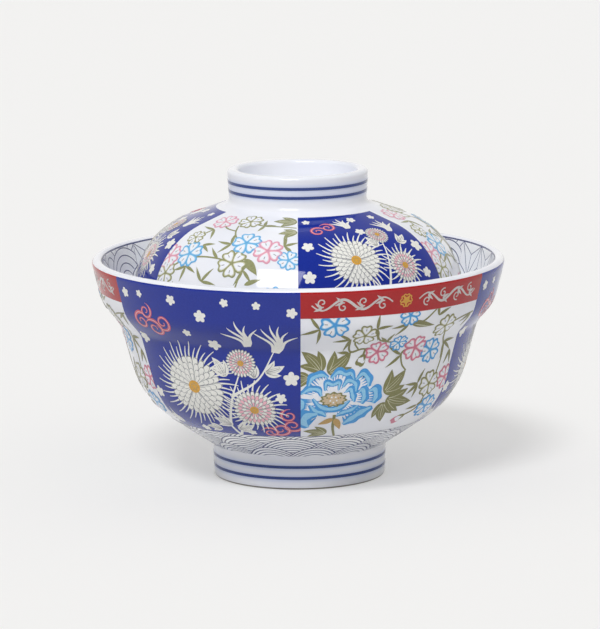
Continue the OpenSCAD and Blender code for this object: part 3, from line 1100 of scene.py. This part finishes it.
# %% Gold blossom and vine
VINE_FROM, VINE_TO, VINE_WAVES, VINE_CURLS = 0.14, 0.90, 2.0, 4
PETAL_HALF, STAMEN_HALF, VINE_HALF, CURL_HALF = 0.22 * MM, 0.14 * MM, 0.26 * MM, 0.24 * MM
GOLD_PETAL = (2.7, 1.15, 0.6)
VINE_LEAF, VINE_LEAF_HALF = 3.4, 0.52


def red_band(field):
    """A five-petalled blossom in gold lines, and a waved vine with curls and leaves on either side."""
    petals = field.spot(0, 0.5, *around(*notched_petal(*GOLD_PETAL), 5))
    strokes(field, "gold", *petals, PETAL_HALF, 2, closed=True)
    stamens = field.spot(0, 0.5, *around(0 * WAY, 0.3 + 1.2 * WAY, 5))
    strokes(field, "gold", *stamens, STAMEN_HALF, 2)
    t = np.linspace(0, 1, 90)
    spin, reach = np.linspace(0.2, 1.3, 28) * TURN, np.linspace(1.9, 0.4, 28)
    for side in (-1, 1):
        across = side * (VINE_FROM + (VINE_TO - VINE_FROM) * t)
        up = 0.5 + 0.2 * np.sin(TURN * VINE_WAVES * t)
        strokes(field, "silver", *field.at(across, up), VINE_HALF * (1 + np.sin(np.pi * t) ** 2), 2)
        for k in range(VINE_CURLS):
            place = side * (VINE_FROM + (VINE_TO - VINE_FROM) * (k + 0.5) / VINE_CURLS)
            rise = 1 if k % 2 else -1
            turn = side * rise * spin
            curl = field.spot(place, 0.5 + 0.1 * rise, reach * np.cos(turn), reach * np.sin(turn))
            strokes(field, "silver", *curl, CURL_HALF, 2)
            leaves = [side * -60, side * -120]
            blades(field, "silver", place, 0.5 - 0.1 * rise, VINE_LEAF, VINE_LEAF_HALF, leaves)


for panel in bowl_bands:
    red_band(panel)
print("red bands:", len(bowl_bands))

# %% [markdown]
# ## Firing the enamels
# Overglaze enamel is coloured glass, so it is as glossy as the glaze it melts into, with a slight
# mottle from the print. Every solid could be an object of its own, but thousands of them would be
# slow to handle. So each colour becomes one piece per body: all its solids in one mesh. On the
# lid the blue, pink and olive are painted paler than on the bowl, as painted light for the
# stronger light that falls on the lid.

# %% Enamel colours
ENAMEL_TONES = {
    "cobalt": ("cobalt blue enamel", "#172c90", "#1a3097"),
    "line_blue": ("underglaze cobalt line", "#2a4082", "#304688"),
    "iron_red": ("iron red enamel", "#a71319", "#af171d"),
    "chalk": ("opaque white enamel", "#e6e6e2", "#eeeeea"),
    "silver": ("silvery grey enamel", "#c6c0c0", "#d2cccc"),
    "milk": ("milk white enamel", "#e7eaf4", "#eff1f8"),
    "ash": ("grey outline enamel", "#8b8d92", "#989a9e"),
    "slate": ("slate blue line print", "#444a74", "#4f557f"),
    # painted light: a ground whiter than the glaze, for the shaded wave band and collar patches
    "snow": ("white ground painted lighter than the glaze", "#f5f7fa", "#fbfcfe"),
    "sand": ("sand enamel", "#c8b394", "#d0bd9f"),
    "sky": ("sky blue enamel", "#4095da", "#4c9fe0"),
    "pale_sky": ("pale blue enamel", "#8ac6ec", "#98d0f0"),
    "rose": ("rose pink enamel", "#cb728b", "#d37d95"),
    "blush": ("pale pink enamel", "#eab2c1", "#f0bdca"),
    "coral": ("coral enamel", "#c65467", "#d05f71"),
    "pale_olive": ("pale olive enamel", "#c3c3a6", "#cdcdb2"),
    "olive": ("olive green enamel", "#7b7a4e", "#868558"),
    "ochre": ("ochre enamel", "#b8955a", "#c4a163"),
    "gold": ("gold yellow enamel", "#cf9a3c", "#dba848"),
}
# painted light: paler copies of three enamels, standing in for the stronger light on the lid
LID_LIT_TONES = {
    "sky": ("sky blue enamel painted paler for the lid's light", "#66aade", "#72b3e4"),
    "rose": ("rose pink enamel painted paler for the lid's light", "#d697ae", "#dda2b8"),
    "olive": ("olive green enamel painted paler for the lid's light", "#8d9068", "#989b73"),
}
print("enamels:", len(ENAMEL_TONES), "and", len(LID_LIT_TONES), "paler ones")

# %% Fired enamel
# The dots of such a print are about 0.15 mm across, and drawn coarser here so that they show.
PRINT_GRAIN = 0.6 * MM
ENAMEL_IOR = 1.45


def fired_enamel(name, low, high):
    """Coloured glass fired into the glaze: glossy, with a fine mottle between two near tones."""
    material, tree, shader, where = new_material(name)
    tones = mottled(tree, where, PRINT_GRAIN, 2.0, low, high)
    tree.links.new(tones, shader.inputs["Base Color"])
    shader.inputs["Roughness"].default_value = GLAZE_ROUGHNESS
    shader.inputs["IOR"].default_value = ENAMEL_IOR
    return material


FINISHES = {colour: fired_enamel(*tones) for colour, tones in ENAMEL_TONES.items()}
LID_LIT_FINISHES = {**FINISHES, **{colour: fired_enamel(*tones) for colour, tones in LID_LIT_TONES.items()}}
print("materials:", len(bpy.data.materials))

# %% One piece for each colour
for (body, colour), solids in sorted(ENAMEL.items()):
    points, normals, quads, triangles = zip(*solids)
    starts = np.cumsum([0] + [len(p) for p in points])
    faces = np.concatenate([q + n for q, n in zip(quads, starts)]).tolist()
    for t, n in zip(triangles, starts):
        faces += (np.array(t, int).reshape(-1, 3) + n).tolist()
    # the lid takes the paler copies, which are painted light
    finish = (LID_LIT_FINISHES if body == "lid" else FINISHES)[colour]
    piece = dressed(body + "_" + colour, body, finish,
                    np.concatenate(points), np.concatenate(normals), faces)
    print(piece.name, "faces:", len(faces))

# %% [markdown]
# ## The floor
# A product like this is photographed on a sweep of pale paper, which keeps a soft shadow under it.
# More light would whiten the paper, but it would bleach the bowl as well. So the floor is matt, and
# only the camera and reflections see it a little paler than it is.

# %% Pale floor
FLOOR_SIDE, FLOOR_Z = 12.0, -0.05 * MM
FLOOR_GLOW = 0.40


def matt_paper():
    """Matt paper that keeps shadows, with a slight glow for the camera and reflections alone."""
    material, tree, shader, _ = new_material("matt paper floor")
    rays = add_node(tree, "ShaderNodeLightPath", {}).outputs
    seen = rays["Is Camera Ray"]
    for kind in ("Is Glossy Ray", "Is Transmission Ray"):
        seen = add_node(tree, "ShaderNodeMath", {0: seen, 1: rays[kind]}, operation="ADD").outputs[0]
    paper = add_node(tree, "ShaderNodeMixRGB", {
        "Fac": seen, "Color1": linear("#dcdcdc"), "Color2": linear("#b8b8b8")})
    glow = add_node(tree, "ShaderNodeMath", {0: seen, 1: FLOOR_GLOW}, operation="MULTIPLY")
    tree.links.new(paper.outputs["Color"], shader.inputs["Base Color"])
    tree.links.new(glow.outputs[0], shader.inputs["Emission Strength"])
    shader.inputs["Emission Color"].default_value = linear("#ffffff")
    shader.inputs["Roughness"].default_value = 1.0
    shader.inputs["Specular IOR Level"].default_value = 0.0
    return material


side = FLOOR_SIDE / 2
mesh = bpy.data.meshes.new("floor")
corners = [(x * side, y * side, FLOOR_Z) for x, y in ((-1, -1), (1, -1), (1, 1), (-1, 1))]
mesh.from_pydata(corners, [], [(0, 1, 2, 3)])
mesh.materials.append(matt_paper())
floor = new_object("floor", mesh)
print("floor:", FLOOR_SIDE, "m square")

# %% [markdown]
# ## Light from all sides
# A white room bounces light at the object from everywhere, and most from above. The glaze mirrors
# the room too: a white backdrop behind, which shows where the glaze is seen at a low angle, and a
# darker ceiling and front. Built walls would give both, but would also shade the floor. So the
# world has two strengths instead, one for bounced light and one for what the glaze mirrors.

# %% The room
WALL_LEVEL, CEILING_LEVEL = 0.36, 0.74
FRONT_GLOSS, BACK_GLOSS, BACK_FULL = 0.3, 0.95, 0.9
HIGH_FROM, HIGH_TO, HIGH_SHARE = 0.15, 0.6, 0.5
world = bpy.data.worlds.new("studio bounce")
world.use_nodes = True
sky = world.node_tree
aim = add_node(sky, "ShaderNodeTexCoord", {}).outputs["Generated"]
way = add_node(sky, "ShaderNodeSeparateXYZ", {"Vector": aim}).outputs
bounce = add_node(sky, "ShaderNodeMapRange", {
    "Value": way["Z"], "To Min": WALL_LEVEL, "To Max": CEILING_LEVEL})
backdrop = add_node(sky, "ShaderNodeMapRange", {
    "Value": way["Y"], "From Max": BACK_FULL, "To Min": FRONT_GLOSS, "To Max": BACK_GLOSS})
high = add_node(sky, "ShaderNodeMapRange", {
    "Value": way["Z"], "From Min": HIGH_FROM, "From Max": HIGH_TO, "To Min": 1.0, "To Max": HIGH_SHARE})
mirror = add_node(sky, "ShaderNodeMath", {
    0: backdrop.outputs["Result"], 1: high.outputs["Result"]}, operation="MULTIPLY")
glossy = add_node(sky, "ShaderNodeLightPath", {}).outputs["Is Glossy Ray"]
strength = add_node(sky, "ShaderNodeMapRange", {
    "Value": glossy, "To Min": bounce.outputs["Result"], "To Max": mirror.outputs[0]})
sky.nodes["Background"].inputs["Color"].default_value = linear("#fffdf9")
sky.links.new(strength.outputs["Result"], sky.nodes["Background"].inputs["Strength"])
bpy.context.scene.world = world
print("world:", world.name)

# %% [markdown]
# ## The lamps
# One large soft lamp stands to the front left. An area lamp alone could be it, but its light would
# fade across the floor. A sun with a wide angle gives even light and a soft shadow instead, and a
# softbox in about the same direction, which only reflections see, leaves the bright patch.

# %% Key light and softbox
LAMP_TARGET = np.array([0.0, 0.0, 0.09])
KEY_POWER, KEY_ANGLE = 1.7, np.radians(16)
KEY_AZIMUTH, KEY_RISE, KEY_AWAY = np.radians(-19), np.radians(50), 1.0
SOFTBOX_POWER, SOFTBOX_WIDE, SOFTBOX_TALL = 12.6, 0.73, 0.66
SOFTBOX_AZIMUTH, SOFTBOX_RISE, SOFTBOX_AWAY = np.radians(-16.4), np.radians(45.2), 1.5


def lamp(name, kind, energy, azimuth, rise, away, **settings):
    """A lamp that shines at the target, from an azimuth counted from -y towards +x and a rise."""
    light = bpy.data.lights.new(name, kind)
    light.energy = energy
    for key, value in settings.items():
        setattr(light, key, value)
    holder = new_object(name, light)
    level = np.cos(rise)
    way = np.array([np.sin(azimuth) * level, -np.cos(azimuth) * level, np.sin(rise)])
    holder.location = LAMP_TARGET + away * way
    holder.rotation_euler = Vector(-way).to_track_quat("-Z", "Y").to_euler()
    return holder


key = lamp("key light", "SUN", KEY_POWER, KEY_AZIMUTH, KEY_RISE, KEY_AWAY, angle=KEY_ANGLE)
key.visible_glossy = False
softbox = lamp("softbox", "AREA", SOFTBOX_POWER, SOFTBOX_AZIMUTH, SOFTBOX_RISE, SOFTBOX_AWAY,
               shape="RECTANGLE", size=SOFTBOX_WIDE, size_y=SOFTBOX_TALL)
softbox.visible_diffuse = False
print("lamps:", key.name, "and", softbox.name)

# %% [markdown]
# ## The camera
# Tableware is photographed with a long lens from some way off, a little above the rim, so that the
# ellipses stay calm and the inside of the collar still shows. A near camera would open the ellipses
# and make the grip ring look small. The lens follows from the focal length in pixels of the
# picture's longer side, which is the side that Blender fits the sensor to.

# %% Camera
CAMERA_PLACE = (0.0024, -1.5, 0.3277)
CAMERA_PITCH, CAMERA_ROLL = np.radians(10.02), np.radians(0.4)
FOCAL_PIXELS, IMAGE_SIDE, SENSOR = 3900.0, 629.0, 36.0
view = bpy.data.cameras.new("camera")
view.sensor_width = SENSOR
view.lens = FOCAL_PIXELS * SENSOR / IMAGE_SIDE
camera = new_object("camera", view)
camera.location = CAMERA_PLACE
camera.rotation_euler = (np.pi / 2 - CAMERA_PITCH, CAMERA_ROLL, 0.0)
bpy.context.scene.camera = camera
bpy.context.scene.view_settings.view_transform = "Standard"
print("lens: %.1f mm" % view.lens)
